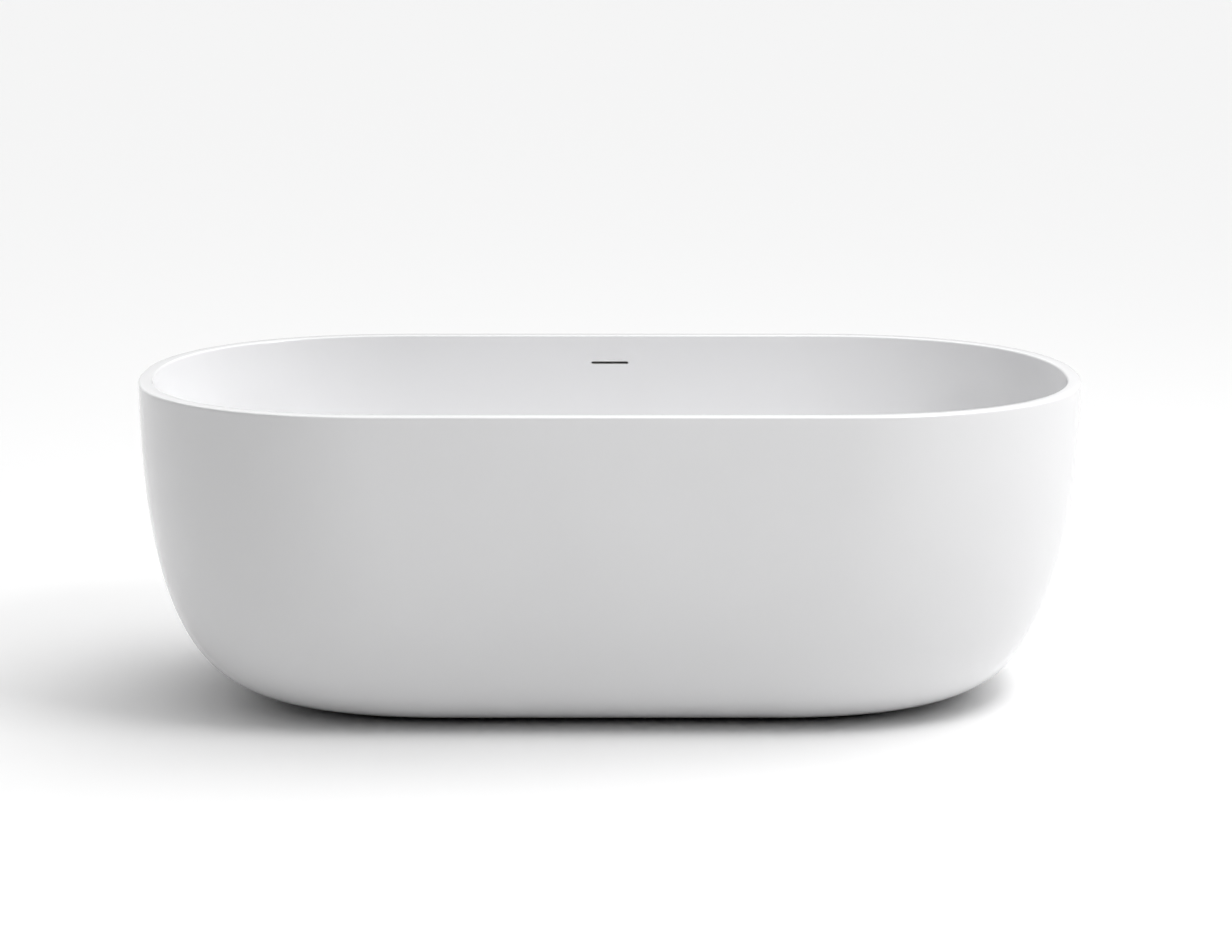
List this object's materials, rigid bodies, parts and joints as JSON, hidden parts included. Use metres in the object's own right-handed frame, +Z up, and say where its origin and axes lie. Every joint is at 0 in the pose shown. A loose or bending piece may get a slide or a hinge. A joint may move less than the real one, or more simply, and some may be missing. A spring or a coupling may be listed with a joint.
{
  "type": "bathtub",
  "caption": "Freestanding double-ended oval bathtub: a smooth skirt that tucks under at the floor, thin flat rim, slot overflow and click-plug waste.",
  "frame": {"origin": "on the floor under the middle of the tub", "axes": "+X along the tub, +Y towards the overflow side, +Z up"},
  "size_m": [1.7, 0.8, 0.58],
  "materials": {
    "acrylic": "gloss",
    "grp": "matte",
    "adhesive": "matte",
    "plywood": "matte",
    "zinc": "satin",
    "galvanised": "satin",
    "black_plastic": "matte",
    "foot_rubber": "matte",
    "chrome": "polished",
    "rubber": "matte",
    "abs": "satin",
    "brass": "satin",
    "spring_steel": "satin",
    "hose_plastic": "satin",
    "stainless": "satin"
  },
  "bodies": {
    "tub": {"basin_shell": "acrylic", "basin_laminate": "grp", "outer_skirt": "acrylic", "skirt_laminate": "grp", "rim_bond": "adhesive", "base_board": "plywood", "board_screws": "zinc", "rail_front": "galvanised", "rail_rear": "galvanised", "cross_left": "galvanised", "cross_right": "galvanised", "tube_caps": "black_plastic", "frame_bolts": "zinc", "frame_nuts": "zinc", "skirt_brackets": "galvanised", "bracket_bolts": "zinc", "bracket_nuts": "zinc", "bond_pads": "adhesive", "weld_nuts": "zinc", "lock_nuts": "zinc", "waste_flange": "chrome", "flange_gasket": "rubber", "waste_gasket": "rubber", "waste_body": "abs", "plug_guide": "brass", "plug_spring": "spring_steel", "tail_nut": "abs", "tail_washer": "rubber", "tailpiece": "abs", "overflow_box": "abs", "overflow_hose": "hose_plastic", "hose_clamp_upper": "stainless", "hose_clamp_lower": "stainless", "clamp_screws": "stainless"},
    "plug": {"plug_cap": "chrome", "plug_seal": "rubber", "plug_stem": "brass"},
    "foot_front_left": {"pad_front_left": "foot_rubber"},
    "screw_front_left": {"stud_front_left": "zinc"},
    "foot_front_right": {"pad_front_right": "foot_rubber"},
    "screw_front_right": {"stud_front_right": "zinc"},
    "foot_rear_left": {"pad_rear_left": "foot_rubber"},
    "screw_rear_left": {"stud_rear_left": "zinc"},
    "foot_rear_right": {"pad_rear_right": "foot_rubber"},
    "screw_rear_right": {"stud_rear_right": "zinc"}
  },
  "joints": [
    {"name": "plug_lift", "type": "slide", "parent": "tub", "child": "plug", "axis": [0, 0, 1], "range_m": [0, 0.009], "deforming": ["plug_spring"]},
    {"name": "level_front_left", "type": "slide", "parent": "tub", "child": "foot_front_left", "axis": [0, 0, 1], "range_m": [-0.018, 0.008]},
    {"name": "turn_front_left", "type": "hinge", "parent": "foot_front_left", "child": "screw_front_left", "pos_m": [-0.36, -0.18999, 0.05], "axis": [0, 0, 1], "range_deg": [-3704, 1647]},
    {"name": "level_front_right", "type": "slide", "parent": "tub", "child": "foot_front_right", "axis": [0, 0, 1], "range_m": [-0.018, 0.008]},
    {"name": "turn_front_right", "type": "hinge", "parent": "foot_front_right", "child": "screw_front_right", "pos_m": [0.36, -0.18999, 0.05], "axis": [0, 0, 1], "range_deg": [-3704, 1647]},
    {"name": "level_rear_left", "type": "slide", "parent": "tub", "child": "foot_rear_left", "axis": [0, 0, 1], "range_m": [-0.018, 0.008]},
    {"name": "turn_rear_left", "type": "hinge", "parent": "foot_rear_left", "child": "screw_rear_left", "pos_m": [-0.36, 0.18999, 0.05], "axis": [0, 0, 1], "range_deg": [-3704, 1647]},
    {"name": "level_rear_right", "type": "slide", "parent": "tub", "child": "foot_rear_right", "axis": [0, 0, 1], "range_m": [-0.018, 0.008]},
    {"name": "turn_rear_right", "type": "hinge", "parent": "foot_rear_right", "child": "screw_rear_right", "pos_m": [0.36, 0.18999, 0.05], "axis": [0, 0, 1], "range_deg": [-3704, 1647]}
  ],
  "couplings": [
    {"joint": "turn_front_left", "follows": "level_front_left", "rad_per_m": 3590.4},
    {"joint": "turn_front_right", "follows": "level_front_right", "rad_per_m": 3590.4},
    {"joint": "turn_rear_left", "follows": "level_rear_left", "rad_per_m": 3590.4},
    {"joint": "turn_rear_right", "follows": "level_rear_right", "rad_per_m": 3590.4}
  ]
}
